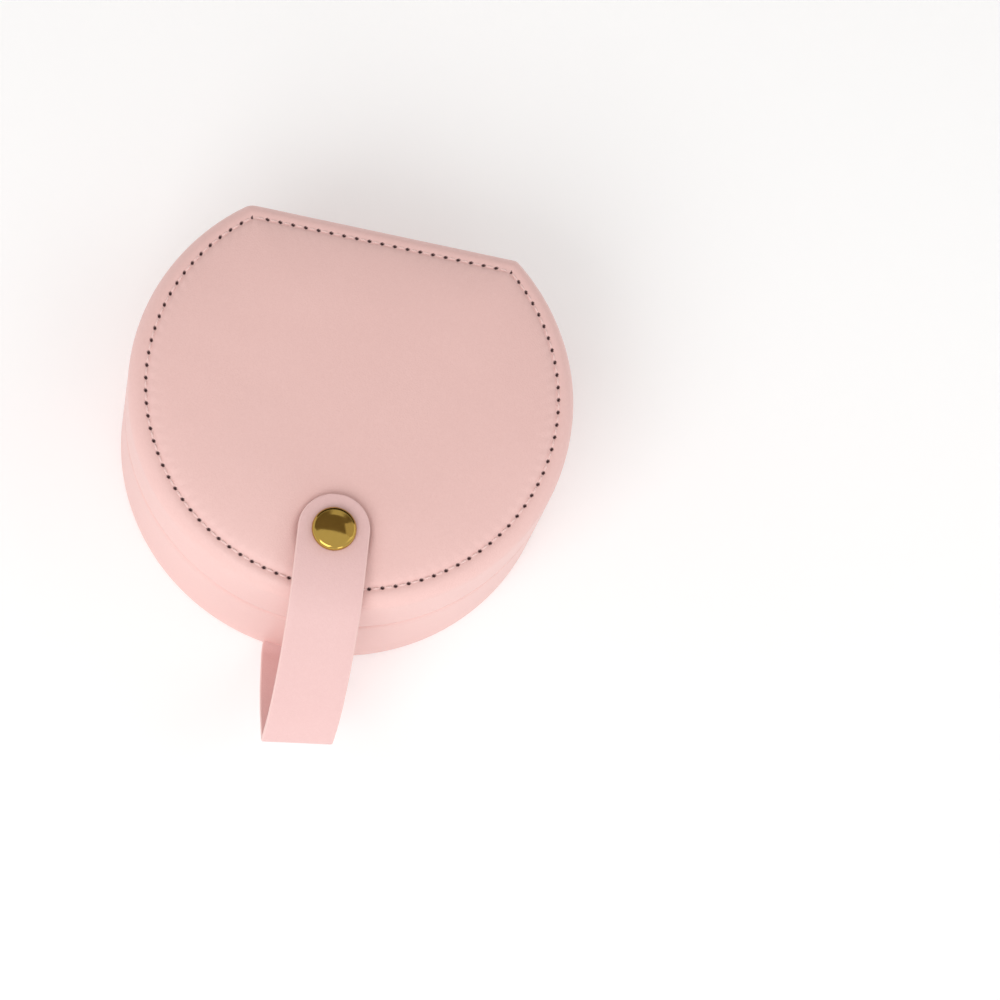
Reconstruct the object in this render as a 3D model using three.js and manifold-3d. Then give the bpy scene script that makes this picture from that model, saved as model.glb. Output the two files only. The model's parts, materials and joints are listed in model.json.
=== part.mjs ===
// Travel jewelry case: a round leather-covered box with one flat side, where a leather hinge joins
// the lid to the base. A leather strap comes out from under the front of the base, folds forward
// and back up, and snaps down on the padded lid. Millimetres, +Z up, the underside of the base is
// z = 0, the strap is at -Y and the hinge at +Y.
import * as THREE from "three";
import { mergeVertices } from "three/addons/utils/BufferGeometryUtils.js";
import Module from "manifold-3d";

const wasm = await Module();
wasm.setup();

// ---- Driving dimensions ----

// Outline, seen from above: a circle with a flat chord at the hinge side
const CASE_RADIUS = 50.5;
const CHORD_Y = 39.7;
const CORNER_RADIUS = 4;
const LEAST_CORNER = 0.8;

// Heights
const BASE_HEIGHT = 26;
const LID_HEIGHT = 19;
const PAD_CROWN = 3.5;
const SEAM_GAP = 0.4;

// Walls, from the outside in
const SKIN = 0.8;
const BOARD = 2.2;
const LINING = 0.8;
const FIT = 0.25;

// Base floor
const BOTTOM_SKIN = 0.7;
const FLOOR_BOARD = 2.65;
const FLOOR_LINING = 0.8;

// Tray fittings
const DIVIDER = 2.4;
const DIVIDER_HEIGHT = 16;
const CROSS_DIVIDER_Y = -6;
const ROLL_COUNT = 4;
const ROLL_GAP = 0.4;
const ROLL_HEIGHT = 14;
const ROLL_END_ROUND = 1.2;
const RING_BED_LENGTH = 54;

// Lid top and its inside
const LID_EDGE_ROUND = 4;
const PANEL_INSET = 4.6;
const CROWN_WIDTH = 8;
const TOP_BOARD = 2.2;
const TOP_BOARD_INSET = 2.4;
const CARD = 0.9;
const MIRROR_INSET = 12;
const MIRROR_GLASS = 1.35;
const MIRROR_FRAME_WIDTH = 3.2;
const MIRROR_FRAME_DEPTH = 2;

// Hinge crease
const HINGE_CREASE_RADIUS = 0.4;
const HINGE_CREASE_CLEAR = 0.7;

// Strap
const STRAP_X = 1.5;
const STRAP_WIDTH = 16;
const STRAP_THICKNESS = 1.5;
const STRAP_TAB_LENGTH = 12;
const STRAP_LIFT = 0.35;
const STRAP_TIP_REACH = 8.3;
const CREASE_CLEAR = 1.1;
const ROOT_STANDOFF = 1.5;
const FOLD_OUT = 27.1;
const FOLD_HEIGHT = 21;
const BEND_OUT = 0.7;
const BEND_LIFT = 1.2;

// Snap fastener
const SNAP_SETBACK = 15.6;
const SNAP_CAP_RADIUS = 5;
const SNAP_CAP_HEIGHT = 2.1;
const SNAP_SHANK_RADIUS = 1.2;
const SNAP_SOCKET_RADIUS = 4.2;
const SNAP_SOCKET_HEIGHT = 1.6;
const SNAP_STUD_RADIUS = 1.8;
const SNAP_STUD_BASE_RADIUS = 4;
const SNAP_STUD_BASE = 0.7;
const SNAP_RIVET_RADIUS = 0.9;
const SNAP_RIVET_HEAD_RADIUS = 3.5;
const SNAP_RIVET_HEAD = 0.8;
const SNAP_CLEAR = 0.3;
const POCKET_RADIUS = 6;
const POCKET_DEPTH = 2.9;

// Facets
const ARC_STEP_DEGREES = 5;
const SMALL_ARC_STEP_DEGREES = 13;
const ROUND_STEPS = 4;
const LATHE_SEGMENTS = 24;
const STRAP_STEPS = 12;

// ---- Levels and insets that follow from them ----

const BASE_TOP = BASE_HEIGHT - SEAM_GAP / 2;
const LID_BOTTOM = BASE_HEIGHT + SEAM_GAP / 2;
const LID_TOP = BASE_HEIGHT + LID_HEIGHT;
const PAD_TOP = LID_TOP + PAD_CROWN;

const BOARD_INSET = SKIN + FIT;
const LINING_INSET = BOARD_INSET + BOARD + FIT;
const TRAY_INSET = LINING_INSET + LINING + FIT;
const TRAY_RADIUS = CASE_RADIUS - TRAY_INSET;

const FLOOR_Z = BOTTOM_SKIN + FIT;
const FLOOR_TOP = FLOOR_Z + FLOOR_BOARD;
const TRAY_FLOOR_Z = FLOOR_TOP + FIT;
const TRAY_Z = TRAY_FLOOR_Z + FLOOR_LINING + FIT;
const RIM_Z = BASE_TOP - SKIN;
const RIM_UNDER = RIM_Z - FIT;

const HINGE_Y = CHORD_Y - SKIN / 2;
const SNAP_Y = SNAP_SETBACK - CASE_RADIUS;
const TAB_Z = BOTTOM_SKIN + FIT + STRAP_THICKNESS / 2;
const POCKET_FLOOR = PAD_TOP - POCKET_DEPTH;

// ---- Materials ----

const leather = new THREE.MeshStandardMaterial({ color: 0xe9c3bb, roughness: 0.55, metalness: 0 });
const board = new THREE.MeshStandardMaterial({ color: 0xb9ab97, roughness: 0.9, metalness: 0 });
const velvet = new THREE.MeshStandardMaterial({ color: 0xe3c4bd, roughness: 1, metalness: 0 });
const foam = new THREE.MeshStandardMaterial({ color: 0xf2efe8, roughness: 0.95, metalness: 0 });
const gold = new THREE.MeshStandardMaterial({ color: 0xd9ac62, roughness: 0.18, metalness: 1 });
const glass = new THREE.MeshStandardMaterial({ color: 0xdfe6e8, roughness: 0.03, metalness: 1 });

// ---- Booleans ----

// A closed geometry as a manifold-3d solid.
function solidOf(geometry) {
  const bare = geometry.index ? geometry.toNonIndexed() : geometry.clone();
  bare.deleteAttribute("normal");
  bare.deleteAttribute("uv");
  const merged = mergeVertices(bare, 1e-4);
  return new wasm.Manifold(
    new wasm.Mesh({
      numProp: 3,
      vertProperties: merged.attributes.position.array,
      triVerts: new Uint32Array(merged.index.array),
    }),
  );
}

// A manifold-3d solid as a geometry.
function geometryOf(solid) {
  const mesh = solid.getMesh();
  const geometry = new THREE.BufferGeometry();
  geometry.setAttribute("position", new THREE.BufferAttribute(new Float32Array(mesh.vertProperties), 3));
  geometry.setIndex(new THREE.BufferAttribute(new Uint32Array(mesh.triVerts), 1));
  return geometry;
}

// The geometry less each of the tools.
function cut(geometry, ...tools) {
  const left = tools.reduce((rest, tool) => rest.subtract(solidOf(tool)), solidOf(geometry));
  return geometryOf(left);
}

// What two geometries share.
function common(geometry, other) {
  return geometryOf(solidOf(geometry).intersect(solidOf(other)));
}

// ---- Shapes ----

// Points of an arc about (x, y), from one angle to another, both included.
function arc(x, y, radius, from, to, stepDegrees = SMALL_ARC_STEP_DEGREES) {
  const steps = Math.max(2, Math.ceil(Math.abs(THREE.MathUtils.radToDeg(to - from)) / stepDegrees));
  return Array.from({ length: steps + 1 }, (_, i) => {
    const angle = from + ((to - from) * i) / steps;
    return new THREE.Vector2(x + radius * Math.cos(angle), y + radius * Math.sin(angle));
  });
}

// The case's outline from above, a given distance inside its outer surface.
function outline(inset) {
  const radius = CASE_RADIUS - inset;
  const chord = CHORD_Y - inset;
  const corner = Math.max(CORNER_RADIUS - inset, LEAST_CORNER);
  const cornerY = chord - corner;
  const cornerX = Math.sqrt((radius - corner) ** 2 - cornerY ** 2);
  const turn = Math.atan2(cornerY, cornerX);
  return [
    ...arc(cornerX, cornerY, corner, turn, Math.PI / 2),
    ...arc(-cornerX, cornerY, corner, Math.PI / 2, Math.PI - turn),
    ...arc(0, 0, radius, Math.PI - turn, 2 * Math.PI + turn, ARC_STEP_DEGREES).slice(1, -1),
  ];
}

// A plate of the case's outline between two heights.
function plate(inset, bottom, top) {
  const shape = new THREE.Shape(outline(inset));
  const geometry = new THREE.ExtrudeGeometry(shape, { depth: top - bottom, bevelEnabled: false });
  return geometry.translate(0, 0, bottom);
}

// A wall that follows the case's outline, open above and below.
function wall(outerInset, innerInset, bottom, top) {
  const shape = new THREE.Shape(outline(outerInset));
  shape.holes.push(new THREE.Path(outline(innerInset)));
  const geometry = new THREE.ExtrudeGeometry(shape, { depth: top - bottom, bevelEnabled: false });
  return geometry.translate(0, 0, bottom);
}

// A block between two corners.
function block(low, high) {
  const size = high.map((value, i) => value - low[i]);
  const middle = high.map((value, i) => (value + low[i]) / 2);
  return new THREE.BoxGeometry(...size).translate(...middle);
}

// A plate of the case's outline whose top edge rolls over, and whose underside is flat.
function cushion(inset, bottom, top, roundWidth, roundHeight) {
  const below = 1;
  const shape = new THREE.Shape(outline(inset + roundWidth));
  const geometry = new THREE.ExtrudeGeometry(shape, {
    depth: top - roundHeight - bottom + below,
    bevelEnabled: true,
    bevelThickness: roundHeight,
    bevelSize: roundWidth,
    bevelSegments: ROUND_STEPS,
  });
  geometry.translate(0, 0, bottom - below);
  const reach = 2 * CASE_RADIUS;
  const underneath = block([-reach, -reach, bottom - below - 2 * roundHeight], [reach, reach, bottom]);
  return cut(geometry, underneath);
}

// A round piece about a vertical axis at the snap, from a profile of [radius, height] pairs.
function turned(profile) {
  const points = profile.map(([radius, z]) => new THREE.Vector2(radius, z));
  const geometry = new THREE.LatheGeometry(points, LATHE_SEGMENTS);
  return geometry.rotateX(Math.PI / 2).translate(STRAP_X, SNAP_Y, 0);
}

// A round bar between two heights on the snap's axis.
function bar(radius, bottom, top) {
  return turned([
    [0, bottom],
    [radius, bottom],
    [radius, top],
    [0, top],
  ]);
}

// Turns a shape extruded from its own plane so that the plane stands as YZ and the depth runs along X.
function turnedAlongX(geometry) {
  const turn = new THREE.Matrix4().makeBasis(
    new THREE.Vector3(0, 1, 0),
    new THREE.Vector3(0, 0, 1),
    new THREE.Vector3(1, 0, 0),
  );
  return geometry.applyMatrix4(turn);
}

// A section drawn in the YZ plane, extruded along X about its middle.
function acrossX(points, length, middleX) {
  const shape = new THREE.Shape(points);
  const geometry = new THREE.ExtrudeGeometry(shape, { depth: length, bevelEnabled: false });
  return turnedAlongX(geometry).translate(middleX - length / 2, 0, 0);
}

// A thin round roll along X, where leather turns about a crease.
function crease(radius, length, middleX, y, z) {
  return new THREE.CylinderGeometry(radius, radius, length, 16)
    .rotateZ(Math.PI / 2)
    .translate(middleX, y, z);
}

// ---- Assembly ----

const group = new THREE.Group();

function add(name, geometry, material) {
  const mesh = new THREE.Mesh(geometry, material);
  mesh.name = name;
  group.add(mesh);
}

// The crease line at the top of the rear wall, where the leather of the base and the lid stops.
function hingeGap() {
  const reach = CASE_RADIUS;
  return block(
    [-reach, HINGE_Y - SKIN, BASE_HEIGHT - HINGE_CREASE_CLEAR],
    [reach, CHORD_Y + SKIN, BASE_HEIGHT + HINGE_CREASE_CLEAR],
  );
}

// The slot under the front wall and in the floor that the strap's tab lies in.
function tabSlot() {
  const half = STRAP_WIDTH / 2 + FIT;
  return block(
    [STRAP_X - half, -CASE_RADIUS - 1, BOTTOM_SKIN - 0.1],
    [STRAP_X + half, -CASE_RADIUS + STRAP_TAB_LENGTH + FIT, TAB_Z + STRAP_THICKNESS / 2 + FIT],
  );
}

function addBase() {
  add("base_bottom_cover", plate(BOARD_INSET, 0, BOTTOM_SKIN), leather);
  add("base_wall_cover", cut(wall(0, SKIN, 0, BASE_TOP), hingeGap(), tabSlot()), leather);
  const boardInner = BOARD_INSET + BOARD;
  add("base_wall_board", cut(wall(BOARD_INSET, boardInner, FLOOR_Z, RIM_UNDER), tabSlot()), board);
  add("base_floor_board", cut(plate(LINING_INSET, FLOOR_Z, FLOOR_TOP), tabSlot()), board);
  add("base_rim_binding", wall(BOARD_INSET, LINING_INSET + LINING, RIM_Z, BASE_TOP), leather);
  add("base_wall_lining", wall(LINING_INSET, LINING_INSET + LINING, TRAY_FLOOR_Z, RIM_UNDER), velvet);
  add("base_floor_lining", plate(TRAY_INSET, TRAY_FLOOR_Z, TRAY_FLOOR_Z + FLOOR_LINING), velvet);
}

// How far a wall inside the tray may run from the middle line at a distance from the centre.
function trayReach(distance) {
  return Math.sqrt((TRAY_RADIUS - FIT) ** 2 - distance ** 2);
}

function addTray() {
  const top = TRAY_Z + DIVIDER_HEIGHT;
  const crossFront = CROSS_DIVIDER_Y - DIVIDER / 2;
  const crossRear = CROSS_DIVIDER_Y + DIVIDER / 2;
  const crossHalf = trayReach(Math.max(Math.abs(crossFront), Math.abs(crossRear)));
  add("divider_cross", block([-crossHalf, crossFront, TRAY_Z], [crossHalf, crossRear, top]), velvet);
  add(
    "divider_front",
    block([-DIVIDER / 2, -trayReach(DIVIDER / 2), TRAY_Z], [DIVIDER / 2, crossFront - FIT, top]),
    velvet,
  );
  const bedFront = crossRear + FIT;
  const bedRear = CHORD_Y - TRAY_INSET - FIT;
  const sideInner = RING_BED_LENGTH / 2 + FIT;
  const sideRear = Math.min(bedRear, trayReach(sideInner + DIVIDER));
  for (const [name, side] of [["left", -1], ["right", 1]]) {
    const xs = [side * sideInner, side * (sideInner + DIVIDER)].sort((a, b) => a - b);
    add(`divider_${name}`, block([xs[0], bedFront, TRAY_Z], [xs[1], sideRear, top]), velvet);
  }
  addRingRolls(bedFront, bedRear);
}

// Soft rolls side by side: a ring's band is pushed down between two of them.
function addRingRolls(front, rear) {
  const pitch = (rear - front) / ROLL_COUNT;
  const radius = (pitch - ROLL_GAP) / 2 - ROLL_END_ROUND;
  const foot = TRAY_Z + ROLL_END_ROUND;
  const shoulder = TRAY_Z + ROLL_HEIGHT - ROLL_END_ROUND - radius;
  for (let i = 0; i < ROLL_COUNT; i += 1) {
    const y = front + pitch * (i + 0.5);
    const section = [
      new THREE.Vector2(y - radius, foot),
      new THREE.Vector2(y + radius, foot),
      ...arc(y, shoulder, radius, 0, Math.PI),
    ];
    const shape = new THREE.Shape(section);
    const geometry = new THREE.ExtrudeGeometry(shape, {
      depth: RING_BED_LENGTH - 2 * FIT - 2 * ROLL_END_ROUND,
      bevelEnabled: true,
      bevelThickness: ROLL_END_ROUND,
      bevelSize: ROLL_END_ROUND,
      bevelSegments: 3,
    });
    turnedAlongX(geometry).translate(-RING_BED_LENGTH / 2 + FIT + ROLL_END_ROUND, 0, 0);
    add(`ring_roll_${i + 1}`, geometry, velvet);
  }
}

function addHinge() {
  const cornerY = CHORD_Y - CORNER_RADIUS;
  const length = 2 * Math.sqrt((CASE_RADIUS - CORNER_RADIUS) ** 2 - cornerY ** 2);
  add("hinge_crease", crease(HINGE_CREASE_RADIUS, length, 0, HINGE_Y, BASE_HEIGHT), leather);
}

function addLidShell() {
  const skinTop = LID_TOP - SKIN;
  const innerRound = LID_EDGE_ROUND - SKIN;
  const outer = cushion(0, LID_BOTTOM, LID_TOP, LID_EDGE_ROUND, LID_EDGE_ROUND);
  const hollow = cushion(SKIN, LID_BOTTOM - 1, skinTop, innerRound, innerRound);
  const window = plate(PANEL_INSET - FIT, LID_BOTTOM, LID_TOP + 1);
  add("lid_wall_cover", cut(outer, hollow, window, hingeGap()), leather);
  const boardBottom = LID_BOTTOM + FIT;
  const boardTop = LID_TOP - LID_EDGE_ROUND - FIT;
  const linerTop = boardTop - CARD - FIT;
  add("lid_wall_board", wall(BOARD_INSET, BOARD_INSET + BOARD, boardBottom, boardTop), board);
  add("lid_wall_lining", wall(LINING_INSET, LINING_INSET + LINING, boardBottom, linerTop), velvet);
  add("lid_card", plate(LINING_INSET, boardTop - CARD, boardTop), board);
  const topBoardZ = boardTop + FIT;
  add("lid_top_board", plate(TOP_BOARD_INSET, topBoardZ, topBoardZ + TOP_BOARD), board);
  const ceiling = linerTop - LINING;
  add("lid_ceiling_lining", plate(TRAY_INSET, ceiling, linerTop), velvet);
  const glassTop = ceiling - FIT;
  add("mirror", plate(MIRROR_INSET, glassTop - MIRROR_GLASS, glassTop), glass);
  const frameInner = MIRROR_INSET - FIT;
  const frameBottom = glassTop - MIRROR_FRAME_DEPTH;
  add("mirror_frame", wall(frameInner - MIRROR_FRAME_WIDTH, frameInner, frameBottom, glassTop), velvet);
  addPad(topBoardZ + TOP_BOARD + FIT);
}

// The padded top: leather over foam, with a dimple where the snap pulls it down.
function addPad(bottom) {
  const skinned = PAD_TOP - SKIN;
  const dimple = bar(POCKET_RADIUS, POCKET_FLOOR, PAD_TOP + 1);
  const dimpleUnder = bar(POCKET_RADIUS + SKIN, POCKET_FLOOR - SKIN, PAD_TOP + 1);
  const dimpleFoam = bar(POCKET_RADIUS + SKIN + FIT, bottom - 1, PAD_TOP + 1);
  const rivetHole = bar(SNAP_RIVET_RADIUS + SNAP_CLEAR, bottom - 1, PAD_TOP);
  const outer = cut(cushion(PANEL_INSET, bottom, PAD_TOP, CROWN_WIDTH, PAD_CROWN), dimple);
  const inside = cushion(PANEL_INSET + SKIN, bottom - 1, skinned, CROWN_WIDTH, PAD_CROWN);
  add("lid_top_panel", cut(outer, cut(inside, dimpleUnder), rivetHole), leather);
  const foamInset = PANEL_INSET + SKIN + FIT;
  const core = cushion(foamInset, bottom, skinned - FIT, CROWN_WIDTH, PAD_CROWN);
  add("lid_foam_pad", cut(core, dimpleFoam), foam);
}

function addSnap() {
  const studBase = POCKET_FLOOR + FIT;
  const studShoulder = studBase + SNAP_STUD_BASE;
  const strapUnder = PAD_TOP + STRAP_LIFT;
  const socketTop = strapUnder - FIT / 2;
  const socketBottom = socketTop - SNAP_SOCKET_HEIGHT;
  const shankEnd = socketTop - SNAP_SOCKET_HEIGHT / 3;
  const studTop = shankEnd - SNAP_CLEAR;
  const rivetHeadZ = POCKET_FLOOR - SKIN - FIT;
  const rivetBore = SNAP_RIVET_RADIUS + SNAP_CLEAR / 2;
  const rivetTop = studTop - 2 * SNAP_CLEAR;
  const stud = turned([
    [0, rivetTop + SNAP_CLEAR / 2],
    [rivetBore, rivetTop + SNAP_CLEAR / 2],
    [rivetBore, studBase],
    [SNAP_STUD_BASE_RADIUS, studBase],
    [SNAP_STUD_BASE_RADIUS, studShoulder],
    [SNAP_STUD_RADIUS - 0.2, studShoulder],
    [SNAP_STUD_RADIUS, studTop - 0.35],
    [SNAP_STUD_RADIUS - 0.35, studTop],
    [0, studTop],
  ]);
  add("snap_stud", stud, gold);
  const rivet = turned([
    [0, rivetHeadZ - SNAP_RIVET_HEAD],
    [SNAP_RIVET_HEAD_RADIUS, rivetHeadZ - SNAP_RIVET_HEAD],
    [SNAP_RIVET_HEAD_RADIUS, rivetHeadZ],
    [SNAP_RIVET_RADIUS, rivetHeadZ],
    [SNAP_RIVET_RADIUS, rivetTop],
    [0, rivetTop],
  ]);
  add("snap_stud_rivet", rivet, gold);
  const socketBore = SNAP_STUD_RADIUS + SNAP_CLEAR;
  const socket = turned([
    [socketBore, socketBottom],
    [SNAP_SOCKET_RADIUS, socketBottom],
    [SNAP_SOCKET_RADIUS, socketTop],
    [socketBore, socketTop],
    [socketBore, socketBottom],
  ]);
  add("snap_socket", socket, gold);
  const capBottom = strapUnder + STRAP_THICKNESS + FIT;
  const rim = SNAP_CAP_HEIGHT / 3;
  const domeSteps = 6;
  const dome = Array.from({ length: domeSteps + 1 }, (_, i) => {
    const angle = (Math.PI / 2) * (i / domeSteps);
    return [SNAP_CAP_RADIUS * Math.cos(angle), capBottom + rim + (SNAP_CAP_HEIGHT - rim) * Math.sin(angle)];
  });
  dome[domeSteps][0] = 0;
  const cap = turned([
    [0, shankEnd],
    [SNAP_SHANK_RADIUS, shankEnd],
    [SNAP_SHANK_RADIUS, capBottom],
    [SNAP_CAP_RADIUS, capBottom],
    ...dome,
  ]);
  add("snap_cap", cap, gold);
}

// ---- Strap ----

// A strip of strap leather along a smooth line of [y, z] points.
function strip(points) {
  const line = new THREE.CatmullRomCurve3(points.map(([y, z]) => new THREE.Vector3(0, y, z)));
  const upper = [];
  const lower = [];
  for (let i = 0; i <= STRAP_STEPS; i += 1) {
    const at = line.getPointAt(i / STRAP_STEPS);
    const along = line.getTangentAt(i / STRAP_STEPS);
    const side = new THREE.Vector2(-along.z, along.y).multiplyScalar(STRAP_THICKNESS / 2);
    upper.push(new THREE.Vector2(at.y, at.z).add(side));
    lower.push(new THREE.Vector2(at.y, at.z).sub(side));
  }
  return acrossX([...lower, ...upper.reverse()], STRAP_WIDTH, STRAP_X);
}

// The point a given distance from one [y, z] point on the way to another.
function towards(from, to, distance) {
  const way = new THREE.Vector2(to[0] - from[0], to[1] - from[1]).setLength(distance);
  return [from[0] + way.x, from[1] + way.y];
}

// A point part of the way between two others, bulged sideways to the left of the way.
function bulged(from, to, share, bulge) {
  const way = new THREE.Vector2(to[0] - from[0], to[1] - from[1]);
  const left = new THREE.Vector2(-way.y, way.x).setLength(bulge);
  return [from[0] + way.x * share + left.x, from[1] + way.y * share + left.y];
}

function addStrap() {
  const root = [-CASE_RADIUS - ROOT_STANDOFF, TAB_Z];
  const fold = [-CASE_RADIUS - FOLD_OUT, FOLD_HEIGHT];
  const bend = [-CASE_RADIUS - BEND_OUT, LID_TOP + BEND_LIFT];
  const tabRear = -CASE_RADIUS + STRAP_TAB_LENGTH;
  const half = STRAP_THICKNESS / 2;
  add(
    "strap_tab",
    block(
      [STRAP_X - STRAP_WIDTH / 2, root[0] + CREASE_CLEAR, TAB_Z - half],
      [STRAP_X + STRAP_WIDTH / 2, tabRear, TAB_Z + half],
    ),
    leather,
  );
  add("strap_root_crease", crease(half, STRAP_WIDTH, STRAP_X, ...root), leather);
  const backWay = [bulged(root, fold, 0.32, 0.9), bulged(root, fold, 0.65, 1.2)];
  add(
    "strap_back",
    strip([
      towards(root, backWay[0], CREASE_CLEAR),
      ...backWay,
      towards(fold, backWay[1], CREASE_CLEAR),
    ]),
    leather,
  );
  add("strap_fold_crease", crease(half, STRAP_WIDTH, STRAP_X, ...fold), leather);
  const frontWay = [
    bulged(fold, bend, 0.12, 1.8),
    bulged(fold, bend, 0.42, 3.6),
    bulged(fold, bend, 0.78, 2.4),
  ];
  add(
    "strap_front",
    strip([
      towards(fold, frontWay[0], CREASE_CLEAR),
      ...frontWay,
      towards(bend, frontWay[2], CREASE_CLEAR),
    ]),
    leather,
  );
  add("strap_bend_crease", crease(half, STRAP_WIDTH, STRAP_X, ...bend), leather);
  addStrapTip(bend);
}

// The end of the strap on the lid, with a round tip about the snap.
function addStrapTip(bend) {
  const flat = PAD_TOP + STRAP_LIFT + STRAP_THICKNESS / 2;
  const tipY = SNAP_Y + STRAP_TIP_REACH;
  const way = [
    [bend[0] + 6.2, flat - 1.1],
    [bend[0] + 12, flat - 0.1],
    [SNAP_Y, flat],
  ];
  const body = strip([towards(bend, way[0], CREASE_CLEAR), ...way, [tipY, flat]]);
  const roundY = tipY - STRAP_WIDTH / 2;
  const plan = new THREE.Shape([
    ...arc(STRAP_X, roundY, STRAP_WIDTH / 2, 0, Math.PI),
    new THREE.Vector2(STRAP_X - STRAP_WIDTH / 2, bend[0] - STRAP_WIDTH),
    new THREE.Vector2(STRAP_X + STRAP_WIDTH / 2, bend[0] - STRAP_WIDTH),
  ]);
  const tall = new THREE.ExtrudeGeometry(plan, { depth: 2 * PAD_TOP, bevelEnabled: false });
  const hole = bar(SNAP_SHANK_RADIUS + SNAP_CLEAR, LID_TOP, 2 * PAD_TOP);
  add("strap_tip", cut(common(body, tall), hole), leather);
}

addBase();
addTray();
addHinge();
addLidShell();
addSnap();
addStrap();

export default group;
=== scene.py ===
"""Looks of a round travel jewelry case: a stitched leather lid, a folded strap, a snap and a velvet tray.

Every size is in millimetres unless its name says otherwise, and is turned into metres where a mesh is placed.
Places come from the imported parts, so the looks follow them.
"""

import json
import logging
import math
from dataclasses import dataclass, field
from enum import Enum
from typing import Callable, Iterable, Sequence

import bmesh
import bpy
from mathutils import Matrix, Vector, noise

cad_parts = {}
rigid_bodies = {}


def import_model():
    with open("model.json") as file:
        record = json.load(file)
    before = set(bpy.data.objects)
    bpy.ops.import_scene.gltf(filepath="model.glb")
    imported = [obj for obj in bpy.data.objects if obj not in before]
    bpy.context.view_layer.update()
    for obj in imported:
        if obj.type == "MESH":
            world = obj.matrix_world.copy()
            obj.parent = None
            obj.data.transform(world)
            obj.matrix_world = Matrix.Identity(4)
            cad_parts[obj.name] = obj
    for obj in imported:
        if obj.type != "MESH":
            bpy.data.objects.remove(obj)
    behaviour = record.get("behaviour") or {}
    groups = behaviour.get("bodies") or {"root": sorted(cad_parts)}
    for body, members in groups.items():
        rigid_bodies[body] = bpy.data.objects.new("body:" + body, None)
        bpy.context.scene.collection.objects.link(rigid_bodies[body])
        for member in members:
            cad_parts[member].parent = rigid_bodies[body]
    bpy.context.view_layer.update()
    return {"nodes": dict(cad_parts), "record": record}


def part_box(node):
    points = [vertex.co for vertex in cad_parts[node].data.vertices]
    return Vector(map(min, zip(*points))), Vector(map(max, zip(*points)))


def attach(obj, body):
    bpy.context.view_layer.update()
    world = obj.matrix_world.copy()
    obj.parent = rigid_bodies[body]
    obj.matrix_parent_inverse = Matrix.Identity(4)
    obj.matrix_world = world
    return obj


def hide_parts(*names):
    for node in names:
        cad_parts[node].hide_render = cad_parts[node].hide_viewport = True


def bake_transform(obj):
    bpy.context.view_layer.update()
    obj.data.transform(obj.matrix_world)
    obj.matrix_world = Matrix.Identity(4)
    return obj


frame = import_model()

MM = 0.001
LOG = logging.getLogger("jewelry_case")

Point = tuple[float, float, float]
Point2 = tuple[float, float]


# ---------------------------------------------------------------- shader maths


class Socket:
    """A shader output that can be used in Python expressions."""

    def __init__(self, graph: "Graph", link: bpy.types.NodeSocket) -> None:
        """Wraps link, an output socket of graph."""
        self.graph = graph
        self.link = link

    def _math(self, operation: str, *values: "Socket | float") -> "Socket":
        """Adds a Math node that works on the given values."""
        return self.graph.add("ShaderNodeMath", {"operation": operation}, dict(enumerate(values)))

    def __add__(self, other: "Socket | float") -> "Socket":
        """Sum."""
        return self._math("ADD", self, other)

    def __radd__(self, other: float) -> "Socket":
        """Reflected sum."""
        return self._math("ADD", other, self)

    def __sub__(self, other: "Socket | float") -> "Socket":
        """Difference."""
        return self._math("SUBTRACT", self, other)

    def __rsub__(self, other: float) -> "Socket":
        """Reflected difference."""
        return self._math("SUBTRACT", other, self)

    def __mul__(self, other: "Socket | float") -> "Socket":
        """Product."""
        return self._math("MULTIPLY", self, other)

    def __rmul__(self, other: float) -> "Socket":
        """Reflected product."""
        return self._math("MULTIPLY", other, self)

    def clamped(self) -> "Socket":
        """The value held between 0 and 1."""
        return self._math("MINIMUM", self._math("MAXIMUM", self, 0.0), 1.0)


Values = dict[str | int, "Socket | float | Sequence[float]"]


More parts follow.
